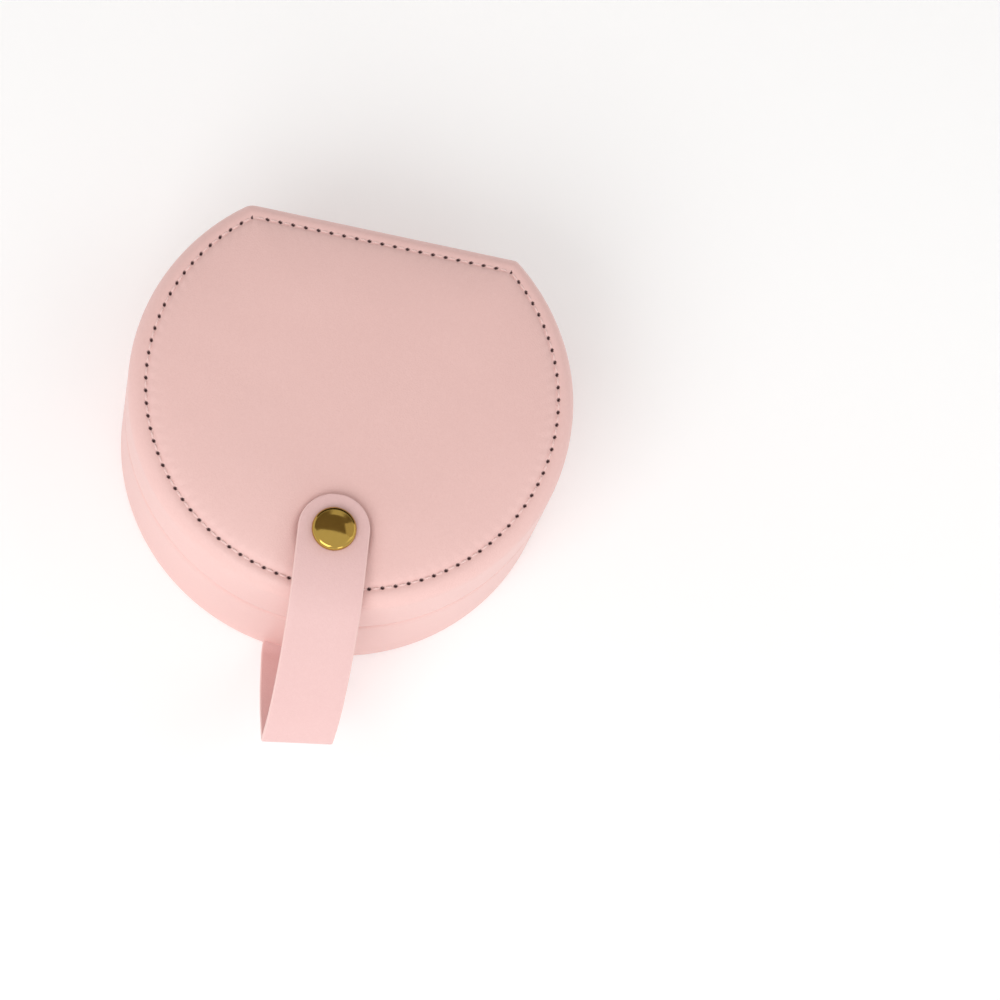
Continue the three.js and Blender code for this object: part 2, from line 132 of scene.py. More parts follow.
class Graph:
    """Builds one material's nodes."""

    def __init__(self, name: str) -> None:
        """Starts an empty material called name."""
        self.material = bpy.data.materials.new(name)
        self.material.use_nodes = True
        self.tree = self.material.node_tree
        self.tree.nodes.clear()

    def node(self, kind: str, settings: dict | None = None, values: Values | None = None) -> bpy.types.Node:
        """Adds a node.

        Args:
            kind: the node's type.
            settings: properties set first.
            values: numbers, colours or links for its input sockets, by name or number.

        Returns:
            The new node.
        """
        node = self.tree.nodes.new(kind)
        for name, value in (settings or {}).items():
            setattr(node, name, value)
        for name, value in (values or {}).items():
            socket = node.inputs[name]
            if isinstance(value, Socket):
                self.tree.links.new(value.link, socket)
            else:
                socket.default_value = value
        return node

    def add(
        self, kind: str, settings: dict | None = None, values: Values | None = None, out: str | int = 0
    ) -> Socket:
        """Adds a node as the method node does, and returns the output named or numbered out."""
        return Socket(self, self.node(kind, settings, values).outputs[out])

    def object_mm(self) -> Socket:
        """Object coordinates in millimetres."""
        coords = self.add("ShaderNodeTexCoord", out="Object")
        return self.add("ShaderNodeMapping", values={"Vector": coords, "Scale": (1000.0, 1000.0, 1000.0)})

    def noise(self, vector: Socket, size: float, detail: float = 2.0, rough: float = 0.5) -> Socket:
        """Soft noise about 0.5 whose features are about size across."""
        values = {"Vector": vector, "Scale": 1.0 / size, "Detail": detail, "Roughness": rough}
        return self.add("ShaderNodeTexNoise", {}, values)

    def cells(self, vector: Socket, size: float) -> Socket:
        """Distance to the nearest middle of random cells about size across."""
        return self.add("ShaderNodeTexVoronoi", {"feature": "F1"}, {"Vector": vector, "Scale": 1.0 / size})

    def mix(self, share: "Socket | float", first: object, second: object) -> Socket:
        """Mixes two colours by share."""
        return self.add("ShaderNodeMix", {"data_type": "RGBA"}, {0: share, 6: first, 7: second}, out=2)

    def attribute(self, name: str) -> Socket:
        """A number kept on the mesh's points."""
        return self.add("ShaderNodeAttribute", {"attribute_name": name}, out="Fac")

    def bump(self, height: Socket, strength: float, distance_mm: float) -> Socket:
        """A normal that height raises."""
        values = {"Height": height, "Strength": strength, "Distance": distance_mm * MM}
        return self.add("ShaderNodeBump", {}, values)

    def surface(self, values: Values) -> bpy.types.Material:
        """Ends the graph in a Principled shader with the given sockets, and returns the material."""
        shader = self.add("ShaderNodeBsdfPrincipled", {}, values)
        self.node("ShaderNodeOutputMaterial", {}, {"Surface": shader})
        return self.material


def rgba(red: float, green: float, blue: float) -> tuple[float, float, float, float]:
    """An opaque colour."""
    return (red, green, blue, 1.0)


# ---------------------------------------------------------------- finishes


@dataclass(frozen=True)
class Leather:
    """Satin coated leather with a very fine grain, and cut edges and needle holes where a mesh marks them;
    the holes are painted near black as painted shade.
    """

    name: str
    colour: tuple[float, float, float, float]
    shade: tuple[float, float, float, float]
    edge: tuple[float, float, float, float]
    # near-black colour of the needle holes: painted shade inside them
    hole_shade: tuple[float, float, float, float] = rgba(0.06, 0.018, 0.02)
    roughness: float = 0.46
    grain_size: float = 0.42
    grain_height: float = 0.06

    def build(self) -> bpy.types.Material:
        """Makes the material."""
        g = Graph(self.name)
        place = g.object_mm()
        warped = g.add(
            "ShaderNodeVectorMath",
            {"operation": "ADD"},
            {0: place, 1: g.add("ShaderNodeTexNoise", {}, {"Vector": place, "Scale": 0.9}, out="Color")},
        )
        pebbles = g.cells(warped, self.grain_size)
        creases = g.noise(warped, 0.9, detail=3.0)
        cloud = g.noise(place, 26.0, detail=3.0)
        pores = g.noise(place, 0.25, detail=1.0)
        tone = (cloud * 0.5 + creases * 0.45 + pebbles * 0.4 - 0.15).clamped()
        skin = g.mix(tone, self.shade, self.colour)
        cut = g.mix(g.attribute("cut_edge"), skin, self.edge)
        # needle holes painted near black: painted shade inside the holes
        hole_shaded = g.mix(g.attribute("needle_hole"), cut, self.hole_shade)
        height = pebbles * 0.5 + creases * 0.35 + pores * 0.15
        gloss = self.roughness - 0.06 + cloud * 0.06 + pebbles * 0.08
        return g.surface(
            {
                "Base Color": hole_shaded,
                "Roughness": gloss,
                "Specular IOR Level": 0.42,
                "Sheen Weight": 0.06,
                "Sheen Roughness": 0.4,
                "Normal": g.bump(height, 0.8, self.grain_height),
            }
        )


@dataclass(frozen=True)
class Thread:
    """Sewing thread: two plies that twist along its length."""

    name: str
    colour: tuple[float, float, float, float]
    shade: tuple[float, float, float, float]

    def build(self) -> bpy.types.Material:
        """Makes the material."""
        g = Graph(self.name)
        place = g.object_mm()
        fibres = g.noise(place, 0.12, detail=2.0)
        plies = g.add(
            "ShaderNodeTexWave",
            {"wave_type": "BANDS", "bands_direction": "DIAGONAL"},
            {"Vector": place, "Scale": 0.9, "Distortion": 0.6},
        )
        tone = (fibres * 0.5 + plies * 0.5).clamped()
        return g.surface(
            {
                "Base Color": g.mix(tone, self.shade, self.colour),
                "Roughness": 0.62,
                "Sheen Weight": 0.2,
                "Normal": g.bump(tone, 0.6, 0.06),
            }
        )


@dataclass(frozen=True)
class Velvet:
    """Short pile that catches light at its edges and shows brushed patches."""

    name: str
    colour: tuple[float, float, float, float]
    shade: tuple[float, float, float, float]

    def build(self) -> bpy.types.Material:
        """Makes the material."""
        g = Graph(self.name)
        place = g.object_mm()
        pile = g.noise(place, 0.16, detail=1.0)
        brushed = g.noise(place, 7.0, detail=3.0, rough=0.6)
        tone = (brushed * 0.8 + pile * 0.4 - 0.1).clamped()
        return g.surface(
            {
                "Base Color": g.mix(tone, self.shade, self.colour),
                "Roughness": 0.92 - brushed * 0.1,
                "Specular IOR Level": 0.1,
                "Sheen Weight": 0.55,
                "Sheen Roughness": 0.32,
                "Sheen Tint": (1.0, 0.88, 0.86, 1.0),
                "Normal": g.bump(pile, 0.5, 0.1),
            }
        )


@dataclass(frozen=True)
class GoldMetal:
    """Polished gold plating with faint wipe marks."""

    name: str
    colour: tuple[float, float, float, float]
    worn: tuple[float, float, float, float]
    roughness: float = 0.075

    def build(self) -> bpy.types.Material:
        """Makes the material."""
        g = Graph(self.name)
        place = g.object_mm()
        wipe = g.noise(place, 1.6, detail=4.0, rough=0.65)
        hairline = g.noise(place, 0.15, detail=1.0)
        return g.surface(
            {
                "Base Color": g.mix(wipe, self.colour, self.worn),
                "Metallic": 1.0,
                "Roughness": self.roughness + wipe * 0.05 + hairline * 0.02,
                "Normal": g.bump(hairline, 0.05, 0.01),
            }
        )


@dataclass(frozen=True)
class Board:
    """Bookbinding board: grey-brown pulp with flecks."""

    name: str
    colour: tuple[float, float, float, float]
    fleck: tuple[float, float, float, float]

    def build(self) -> bpy.types.Material:
        """Makes the material."""
        g = Graph(self.name)
        place = g.object_mm()
        pulp = g.noise(place, 0.8, detail=5.0, rough=0.7)
        flecks = (g.noise(place, 0.3, detail=1.0) * 4.0 - 2.3).clamped()
        base = g.mix(pulp, self.colour, self.fleck)
        return g.surface(
            {
                "Base Color": g.mix(flecks * 0.5, base, self.fleck),
                "Roughness": 0.9,
                "Normal": g.bump(pulp, 0.5, 0.08),
            }
        )


@dataclass(frozen=True)
class Foam:
    """Open-cell foam."""

    name: str
    colour: tuple[float, float, float, float]
    shade: tuple[float, float, float, float]

    def build(self) -> bpy.types.Material:
        """Makes the material."""
        g = Graph(self.name)
        pores = g.cells(g.object_mm(), 0.5)
        return g.surface(
            {
                "Base Color": g.mix(pores, self.shade, self.colour),
                "Roughness": 0.95,
                "Normal": g.bump(pores, 0.8, 0.2),
            }
        )


@dataclass(frozen=True)
class MirrorGlass:
    """Silvered glass with a trace of dust."""

    name: str
    colour: tuple[float, float, float, float]

    def build(self) -> bpy.types.Material:
        """Makes the material."""
        g = Graph(self.name)
        dust = g.noise(g.object_mm(), 3.0, detail=5.0, rough=0.7)
        tinted = g.mix(dust, self.colour, rgba(0.86, 0.88, 0.89))
        return g.surface({"Base Color": tinted, "Metallic": 1.0, "Roughness": 0.015 + dust * 0.03})


class Finish(Enum):
    """Every finish of the case, by the record's material slot where it has one."""

    LEATHER = Leather(
        "case_leather",
        colour=rgba(0.85, 0.562, 0.528),
        shade=rgba(0.79, 0.50, 0.466),
        edge=rgba(0.9, 0.66, 0.62),
    )
    STRAP = Leather(
        "strap_leather",
        colour=rgba(0.792, 0.53, 0.514),
        shade=rgba(0.74, 0.473, 0.456),
        edge=rgba(0.83, 0.57, 0.54),
    )
    THREAD = Thread("stitch_thread", rgba(0.9, 0.66, 0.62), rgba(0.76, 0.5, 0.47))
    VELVET = Velvet("tray_velvet", rgba(0.74, 0.47, 0.44), rgba(0.58, 0.33, 0.31))
    GOLD = GoldMetal("snap_gold", rgba(0.46, 0.295, 0.062), rgba(0.52, 0.34, 0.085))
    BOARD = Board("binding_board", rgba(0.5, 0.42, 0.33), rgba(0.34, 0.28, 0.22))
    FOAM = Foam("pad_foam", rgba(0.88, 0.86, 0.8), rgba(0.7, 0.66, 0.6))
    MIRROR = MirrorGlass("mirror_glass", rgba(0.93, 0.94, 0.95))


class Finishes:
    """Makes each finish once and dresses pieces with it."""

    SLOTS = {
        Finish.LEATHER: "leather",
        Finish.STRAP: "strap_leather",
        Finish.THREAD: "strap_leather",
        Finish.VELVET: "velvet",
        Finish.GOLD: "gold_metal",
        Finish.BOARD: "board",
        Finish.FOAM: "foam",
        Finish.MIRROR: "mirror",
    }

    def __init__(self) -> None:
        """Starts with no material made."""
        self._made: dict[Finish, bpy.types.Material] = {}

    def material(self, finish: Finish) -> bpy.types.Material:
        """The finish's material."""
        if finish not in self._made:
            self._made[finish] = finish.value.build()
        return self._made[finish]

    def dress(self, piece: bpy.types.Object, finish: Finish) -> bpy.types.Object:
        """Gives a new piece its material.

        Args:
            piece: the new piece.
            finish: the finish it gets.

        Returns:
            The piece.
        """
        piece.data.materials.clear()
        piece.data.materials.append(self.material(finish))
        return piece

    def dress_nodes(self, nodes: Iterable[str], finish: Finish) -> None:
        """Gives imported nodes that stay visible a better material.

        Args:
            nodes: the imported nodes' names.
            finish: the finish they get.
        """
        for name in nodes:
            for slot in frame["nodes"][name].material_slots:
                slot.material = self.material(finish)


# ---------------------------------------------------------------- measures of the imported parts


def box_mm(node: str) -> tuple[Vector, Vector]:
    """A node's lowest and highest corner, in millimetres."""
    low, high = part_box(node)
    return low / MM, high / MM


def joint_mm(name: str) -> Vector:
    """The point that a hinge turns about, in millimetres."""
    found = next(j for j in frame["record"]["behaviour"]["joints"] if j["name"] == name)
    return Vector(found["pos_m"]) / MM


@dataclass(frozen=True)
class Outline:
    """The case's outline from above: a circle cut by a flat side, with rounded corners.

    Its points run from the left corner round the front to the right corner and back along the flat side,
    so that each stitch takes the same number of points.
    """

    radius: float
    chord: float
    left_corner: float = 4.0
    right_corner: float = 2.2
    least_corner: float = 0.7
    soft_from: float = 4.4
    softening: float = 1.0
    arc_stitches: int = 76
    chord_stitches: int = 20
    points_per_stitch: int = 10
    corner_points: int = 6

    @property
    def count(self) -> int:
        """How many points the outline has."""
        return (self.arc_stitches + self.chord_stitches) * self.points_per_stitch + 2 * self.corner_points

    def ring(self, inset: float) -> list[Point2]:
        """The outline's points at an inset.

        Args:
            inset: how far inside the outer surface.

        Returns:
            The points, (x, y).
        """
        radius, chord = self.radius - inset, self.chord - inset
        left_x, left_y, left_turn, left = self._corner(self.left_corner, inset)
        right_x, right_y, right_turn, right = self._corner(self.right_corner, inset)
        arc = self.arc_stitches * self.points_per_stitch
        flat = self.chord_stitches * self.points_per_stitch
        points = list(self._arc((0, 0), radius, math.pi - left_turn, 2 * math.pi + right_turn, arc))
        points += self._arc((right_x, right_y), right, right_turn, math.pi / 2, self.corner_points)
        points += [(right_x - (right_x + left_x) * i / flat, chord) for i in range(flat)]
        points += self._arc((-left_x, left_y), left, math.pi / 2, math.pi - left_turn, self.corner_points)
        return points

    def _corner(self, corner: float, inset: float) -> tuple[float, float, float, float]:
        """A corner's rounding at an inset.

        Args:
            corner: its radius at the outer surface.
            inset: how far inside the outer surface.

        Returns:
            How far the rounding's middle lies beside and behind the case's middle, the angle at which
            the circle passes into it, and its radius.
        """
        radius, chord = self.radius - inset, self.chord - inset
        size = max(corner - inset, self.least_corner) + self.softening * max(0.0, inset - self.soft_from)
        size = min(size, 0.95 * (radius + chord) / 2, (radius - 0.01) / 2)
        y = chord - size
        x = math.sqrt(max((radius - size) ** 2 - y * y, 1e-6))
        return x, y, math.atan2(y, x), size

    @staticmethod
    def _arc(centre: Point2, radius: float, start: float, stop: float, steps: int) -> Iterable[Point2]:
        """Points of an arc, without its last one.

        Args:
            centre: the arc's middle.
            radius: its radius.
            start: the angle that it starts at.
            stop: the angle that it ends at.
            steps: how many points it gives.

        Returns:
            The points, one at a time.
        """
        for i in range(steps):
            angle = start + (stop - start) * i / steps
            yield centre[0] + radius * math.cos(angle), centre[1] + radius * math.sin(angle)

    def stitch_share(self, index: int) -> float:
        """How far a point lies from the nearest needle hole.

        Args:
            index: the point's number.

        Returns:
            A share of a stitch, from 0 at a hole to 0.5 half way between two.
        """
        arc = self.arc_stitches * self.points_per_stitch
        first_flat = arc + self.corner_points
        last_flat = first_flat + self.chord_stitches * self.points_per_stitch
        half = self.points_per_stitch // 2
        if arc < index < first_flat + half or index > last_flat - half:
            return 0.5
        local = index if index <= arc else index - first_flat
        share = (local / self.points_per_stitch) % 1.0
        return min(share, 1.0 - share)

    def holes(self) -> list[int]:
        """The numbers of the points that the needle went through.

        Returns:
            The numbers, from the left corner round to it again.
        """
        arc = self.arc_stitches * self.points_per_stitch
        on_arc = [i * self.points_per_stitch for i in range(self.arc_stitches + 1)]
        first_flat = arc + self.corner_points
        return on_arc + [first_flat + i * self.points_per_stitch for i in range(1, self.chord_stitches)]


# ---------------------------------------------------------------- mesh tools


def finished(name: str, mesh: bmesh.types.BMesh) -> bpy.types.Object:
    """Turns a bmesh, in millimetres, into an object at the origin.

    Args:
        name: the piece's name.
        mesh: the bmesh, which is freed.

    Returns:
        The new object.
    """
    bmesh.ops.scale(mesh, vec=(MM, MM, MM), verts=mesh.verts)
    data = bpy.data.meshes.new(name)
    for face in mesh.faces:
        face.smooth = True
    mesh.to_mesh(data)
    mesh.free()
    piece = bpy.data.objects.new(name, data)
    bpy.context.scene.collection.objects.link(piece)
    return piece


def outward(mesh: bmesh.types.BMesh) -> None:
    """Turns every face to point outwards."""
    bmesh.ops.recalc_face_normals(mesh, faces=mesh.faces)


Place = Callable[[int, int], Point]


def loft(mesh: bmesh.types.BMesh, count: int, rings: int, place: Place, closed: bool = False) -> list[list]:
    """Extrudes a loop of points from ring to ring.

    Args:
        mesh: the bmesh to add to.
        count: points in a ring.
        rings: how many rings.
        place: gives point index of ring number, as place(ring, index).
        closed: whether the last ring joins the first one.

    Returns:
        The rings' vertices, in order.
    """
    start = bmesh.ops.create_circle(mesh, segments=count, radius=1.0)["verts"]
    rows = [list(start)]
    for index, vert in enumerate(start):
        vert.co = place(0, index)
    numbers = {vert: index for index, vert in enumerate(start)}
    edges = [e for e in mesh.edges if e.verts[0] in numbers and e.verts[1] in numbers]
    first_edges = list(edges)
    for ring in range(1, rings):
        made = bmesh.ops.extrude_edge_only(mesh, edges=edges)["geom"]
        fresh = [v for v in made if isinstance(v, bmesh.types.BMVert)]
        edges = [e for e in made if isinstance(e, bmesh.types.BMEdge)]
        beyond = {}
        for vert in fresh:
            old = next(o for o in (e.other_vert(vert) for e in vert.link_edges) if o in numbers)
            beyond[vert] = numbers[old]
            vert.co = place(ring, numbers[old])
        edges = [e for e in edges if e.verts[0] in beyond and e.verts[1] in beyond]
        numbers = beyond
        rows.append(sorted(beyond, key=beyond.get))
    if closed:
        bmesh.ops.bridge_loops(mesh, edges=first_edges + edges)
    return rows


def close_ring(mesh: bmesh.types.BMesh, row: list) -> None:
    """Fills a ring with a fan about its middle.

    Args:
        mesh: the bmesh that the ring is in.
        row: the ring's vertices.
    """
    edges = {e for v in row for e in v.link_edges if all(o in set(row) for o in e.verts)}
    made = bmesh.ops.contextual_create(mesh, geom=list(edges))
    bmesh.ops.poke(mesh, faces=made["faces"])


def point_mark(mesh: bmesh.types.BMesh, name: str) -> object:
    """A number kept on the mesh's points under a name that a finish reads."""
    return mesh.verts.layers.float.get(name) or mesh.verts.layers.float.new(name)


def softened_block(
    name: str, low: Vector, high: Vector, round_by: float, segments: int = 4
) -> bpy.types.Object:
    """A block with rounded edges and enough faces to shade softly.

    Args:
        name: the piece's name.
        low: its lowest corner.
        high: its highest corner.
        round_by: radius of its edges.
        segments: faces across each rounding.

    Returns:
        The new object.
    """
    mesh = bmesh.new()
    bmesh.ops.create_cube(mesh, size=1.0)
    bmesh.ops.scale(mesh, vec=high - low, verts=mesh.verts)
    bmesh.ops.translate(mesh, vec=(low + high) / 2, verts=mesh.verts)
    bmesh.ops.bevel(
        mesh, geom=mesh.edges, offset=round_by, segments=segments, profile=0.5, affect="EDGES", material=-1
    )
    outward(mesh)
    return finished(name, mesh)


def turned(name: str, profile: Sequence[Point2], centre: Point2, steps: int = 96) -> bpy.types.Object:
    """A round piece about a vertical axis.

    Args:
        name: the piece's name.
        profile: (radius, height) points.
        centre: where the axis stands.
        steps: faces round the axis.

    Returns:
        The new object.
    """
    mesh = bmesh.new()
    verts = [bmesh.ops.create_vert(mesh, co=(r, 0.0, z))["vert"][0] for r, z in profile]
    edges = [mesh.edges.new(pair) for pair in zip(verts, verts[1:])]
    bmesh.ops.spin(
        mesh,
        geom=verts + edges,
        cent=(0, 0, 0),
        axis=(0, 0, 1),
        angle=2 * math.pi,
        steps=steps,
        use_merge=True,
    )
    bmesh.ops.remove_doubles(mesh, verts=mesh.verts, dist=1e-4)
    outward(mesh)
    bmesh.ops.translate(mesh, vec=(centre[0], centre[1], 0), verts=mesh.verts)
    return finished(name, mesh)


# ---------------------------------------------------------------- the case


# Insets of the lid skin's rings: close together at the stitches, wider apart over the slope and the middle.
STITCH_RINGS = (
    *(2.9, 3.1, 3.25, 3.4, 3.55, 3.7, 3.8, 3.9, 4.0, 4.1),
    *(4.25, 4.4, 4.55, 4.75, 5.0, 5.3, 5.7, 6.2, 6.8),
)
SLOPE_RINGS = (7.5, 8.3, *(9.2 + i for i in range(12)), 21.4, 22.8, 24.2)
MIDDLE_RINGS = (25.8, 27.6, 29.6, 31.8, 34.2, 36.6, 39.0, 41.4, 43.4)


@dataclass
class Lid:
    """The lid: one leather skin from its rim over the edge and across the pad, its stitches, its inside."""

    outline: Outline
    finishes: Finishes
    stitch_inset: float = 3.9
    edge_round: float = 4.0
    lip: float = 1.1
    groove_depth: float = 0.24
    groove_width: float = 0.95
    crown_start: float = 4.5
    crown_width: float = 18.0
    crown_reach: float = 38.0
    crown_power: float = 1.65
    shoulder: float = 0.86
    pucker: float = 0.13
    pucker_inset: float = 4.9
    pucker_width: float = 1.5
    slow_wave: float = 0.28
    quick_wave: float = 0.07
    wall_wave: float = 0.12
    hole_radius: float = 0.38
    hole_depth: float = 0.5
    thread_radius: float = 0.27
    thread_dive: float = 0.26
    thread_gap: float = 0.2
    skin_thickness: float = 0.85
    dimple_floor: float = 4.6
    dimple_rim: float = 9.5
    frame_setback: float = 0.9
    seam: float = field(init=False)
    top: float = field(init=False)
    pad_top: float = field(init=False)
    dimple: Vector = field(init=False)
    dimple_z: float = field(init=False)

    def __post_init__(self) -> None:
        """Reads the lid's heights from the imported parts."""
        self.seam = box_mm("lid_wall_cover")[0].z
        self.top = box_mm("lid_wall_cover")[1].z
        self.pad_top = box_mm("lid_top_panel")[1].z
        low, high = box_mm("snap_stud")
        self.dimple = (low + high) / 2
        self.dimple_z = low.z

    def build(self) -> None:
        """Makes every piece of the lid."""
        self._skin()
        self._stitches()
        self._foam()
        self._inside()

    def crown(self, inset: float) -> float:
        """The pad's height above the border.

        Args:
            inset: how far in from the outer surface.

        Returns:
            The height, most of it gained within crown_width and the rest within crown_reach.
        """
        rise = self.pad_top - self.top
        if inset <= self.crown_start:
            return 0.0
        t = min((inset - self.crown_start) / self.crown_width, 1.0)
        near = (1 - (1 - t) ** self.crown_power) ** (1 / self.crown_power)
        far = min((inset - self.crown_start) / self.crown_reach, 1.0)
        return rise * (self.shoulder * near + (1 - self.shoulder) * math.sin(far * math.pi / 2))

    def groove(self, inset: float) -> float:
        """How far the row of stitches pulls the leather down."""
        off = (inset - self.stitch_inset) / self.groove_width
        return -self.groove_depth * math.exp(-off * off)

    def _profile(self) -> list[Point2]:
        """The skin's section, from its turned-in lower edge to the middle of the pad.

        Returns:
            The section's (inset, height) points.
        """
        inner = self.outline.radius - box_mm("lid_wall_lining")[1].x
        lining = self.outline.radius - box_mm("lid_wall_board")[1].x
        rim = [
            (inner + 0.6, self.seam + 0.55),
            (inner + 0.5, self.seam + 0.12),
            (lining + 1.0, self.seam + 0.05),
        ]
        lip = [
            (self.lip * (1 - math.sin(a)), self.seam + self.lip * (1 - math.cos(a)))
            for a in (math.pi / 2 * i / 5 for i in range(6))
        ]
        wall_top = self.top - self.edge_round
        wall = [(0.0, self.seam + self.lip + (wall_top - self.seam - self.lip) * i / 8) for i in range(1, 9)]
        edge = [
            (self.edge_round * (1 - math.cos(a)), wall_top + self.edge_round * math.sin(a))
            for a in (math.radians(6 * i) for i in range(1, 12))
        ]
        top = []
        for inset in (*STITCH_RINGS, *SLOPE_RINGS, *MIDDLE_RINGS):
            short = max(0.0, self.edge_round - inset)
            over = math.sqrt(self.edge_round**2 - short * short)
            top.append((inset, wall_top + over + self.groove(inset) + self.crown(inset)))
        edge = [point for point in edge if point[0] < STITCH_RINGS[0] - 0.1]
        return rim + lip + wall + edge + top

    def _skin(self) -> None:
        """The leather of the wall, edge and pad, with puckers and needle holes, which are marked for painted
        shade inside them.
        """
        profile = self._profile()
        rings = [self.outline.ring(inset) for inset, _ in profile]
        shares = [self.outline.stitch_share(i) * 3.0 for i in range(self.outline.count)]
        mesh = bmesh.new()
        mark = point_mark(mesh, "needle_hole")

        def place(ring: int, index: int) -> Point:
            """A point of the skin."""
            inset, z = profile[ring]
            x, y = rings[ring][index]
            if inset > 2.5 and z > self.top - 2.0:
                z += self._relief(x, y, inset, shares[index])
            elif z > self.seam + 1.5 and inset < 0.1:
                bow = noise.noise(Vector((x, y, z)) * 0.05) * self.wall_wave
                x, y = x * (1 + bow / 50), y * (1 + bow / 50)
            return (x, y, z)

        rows = loft(mesh, self.outline.count, len(profile), place)
        # marks the needle holes, which the leather finish paints near black as painted shade inside them
        for (inset, z), row in zip(profile, rows):
            for index, vert in enumerate(row):
                off = math.hypot(inset - self.stitch_inset, shares[index])
                vert[mark] = 1.0 if z > self.top - 2 and off < self.hole_radius else 0.0
        close_ring(mesh, rows[-1])
        outward(mesh)
        skin = finished("lid_leather_skin", mesh)
        self.finishes.dress(skin, Finish.LEATHER)
        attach(skin, "lid")
        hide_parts("lid_wall_cover", "lid_top_panel")

    def _relief(self, x: float, y: float, inset: float, along: float) -> float:
        """Small heights on top of the pad's shape: holes, puckers, soft unevenness and the snap's dimple.

        Args:
            x: the point's place to the right.
            y: the point's place to the back.
            inset: how far in from the outer surface it lies.
            along: how far along the row of stitches the nearest hole is.

        Returns:
            The height to add.
        """
        off = math.hypot(inset - self.stitch_inset, along)
        down = -self.hole_depth * max(0.0, 1 - (off / self.hole_radius) ** 2)
        fade = math.exp(-(((inset - self.pucker_inset) / self.pucker_width) ** 2))
        puff = self.pucker * fade * (min(along, 1.5) / 1.5 - 0.5)
        soft = 0.0
        if inset > 5:
            blend = min((inset - 5) / 6, 1.0)
            soft = blend * self.slow_wave * noise.noise(Vector((x, y, 3.0)) * 0.035)
            soft += blend * self.quick_wave * noise.noise(Vector((x, y, 9.0)) * 0.12)
        away = math.hypot(x - self.dimple.x, y - self.dimple.y)
        depth = self.top + self.crown(inset) - self.dimple_z + 0.1
        t = min(max((self.dimple_rim - away) / (self.dimple_rim - self.dimple_floor), 0.0), 1.0)
        return down + puff + soft - depth * t * t * (3 - 2 * t)

    def _foam(self) -> None:
        """The foam that fills the pad, a skin's thickness under the leather."""
        foot = box_mm("lid_foam_pad")[0].z
        edge = self.crown_start + 1.6
        middle = [12.2, 14.2, 17.2, 21.4, 27.6, 34.2, 41.4]
        insets = [edge + 0.4, edge, edge + 0.2, edge + 0.7, edge + 1.5, edge + 2.6, edge + 4.0, *middle]
        rings = [self.outline.ring(inset) for inset in insets]

        def place(ring: int, index: int) -> Point:
            """A point of the foam."""
            x, y = rings[ring][index]
            top = self.top + self.crown(insets[ring]) - self.skin_thickness
            top += self._relief(x, y, insets[ring], 1.5)
            height = (0.0, 0.15, 0.75)[ring] if ring < 3 else 1.0
            return (x, y, foot + max(top - foot, 0.2) * height)

        mesh = bmesh.new()
        rows = loft(mesh, self.outline.count, len(insets), place)
        close_ring(mesh, rows[0])
        close_ring(mesh, rows[-1])
        outward(mesh)
        foam = finished("lid_pad_foam", mesh)
        self.finishes.dress(foam, Finish.FOAM)
        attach(foam, "lid")
        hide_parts("lid_foam_pad")

    def _stitches(self) -> None:
        """A row of thread between the needle holes, as one piece of many short strands."""
        mesh = bmesh.new()
        ring = self.outline.ring(self.stitch_inset)
        holes = self.outline.holes()
        z = self.top - self.groove_depth + 0.02
        for start, stop in zip(holes, holes[1:] + holes[:1]):
            a, b = Vector((*ring[start], z)), Vector((*ring[stop], z))
            self._strand(mesh, a, b)
        outward(mesh)
        thread = finished("lid_stitches", mesh)
        self.finishes.dress(thread, Finish.THREAD)
        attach(thread, "lid")

    def _strand(
        self, mesh: bmesh.types.BMesh, start: Vector, stop: Vector, sides: int = 7, steps: int = 6
    ) -> None:
        """One stitch: a thread that rises out of one hole, lies in the groove and dives into the next.

        Args:
            mesh: the bmesh to add to.
            start: the middle of one hole.
            stop: the middle of the next.
            sides: points round the thread.
            steps: rings along it, less one.
        """
        way = stop - start
        across = Vector((way.y, -way.x, 0)).normalized()

        def place(ring: int, index: int) -> Point:
            """A point of the thread."""
            t = self.thread_gap + (1 - 2 * self.thread_gap) * ring / steps
            arch = abs(math.sin(math.pi * ring / steps))
            rise = self.thread_dive * arch**0.6 - self.thread_dive
            radius = self.thread_radius * (0.55 + 0.45 * arch**0.5)
            angle = 2 * math.pi * index / sides
            centre = start + way * t + Vector((0, 0, rise))
            up = Vector((0, 0, radius * math.sin(angle)))
            return tuple(centre + across * radius * math.cos(angle) + up)

        rows = loft(mesh, sides, steps + 1, place)
        for row in (rows[0], rows[-1]):
            bmesh.ops.contextual_create(mesh, geom=row)

    def _inside(self) -> None:
        """The mirror's padded frame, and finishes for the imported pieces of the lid."""
        low, high = box_mm("mirror_frame")
        inner = self.outline.radius - box_mm("mirror")[1].x - self.frame_setback
        outer = self.outline.radius - high.x
        mesh = bmesh.new()
        steps = 12  # points round the frame's section
        half = (inner - outer) / 2
        rings = []
        for i in range(steps):
            angle = 2 * math.pi * i / steps
            inset = (inner + outer) / 2 - half * math.cos(angle)
            z = (low.z + high.z) / 2 + (high.z - low.z) / 2 * math.sin(angle)
            rings.append((self.outline.ring(inset), z))
        loft(mesh, self.outline.count, steps, lambda r, i: (*rings[r][0][i], rings[r][1]), closed=True)
        outward(mesh)
        frame_piece = finished("mirror_velvet_frame", mesh)
        self.finishes.dress(frame_piece, Finish.VELVET)
        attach(frame_piece, "lid")
        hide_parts("mirror_frame")
        self.finishes.dress_nodes(["lid_wall_lining", "lid_ceiling_lining"], Finish.VELVET)
        self.finishes.dress_nodes(["lid_wall_board", "lid_card", "lid_top_board"], Finish.BOARD)
        self.finishes.dress_nodes(["mirror"], Finish.MIRROR)


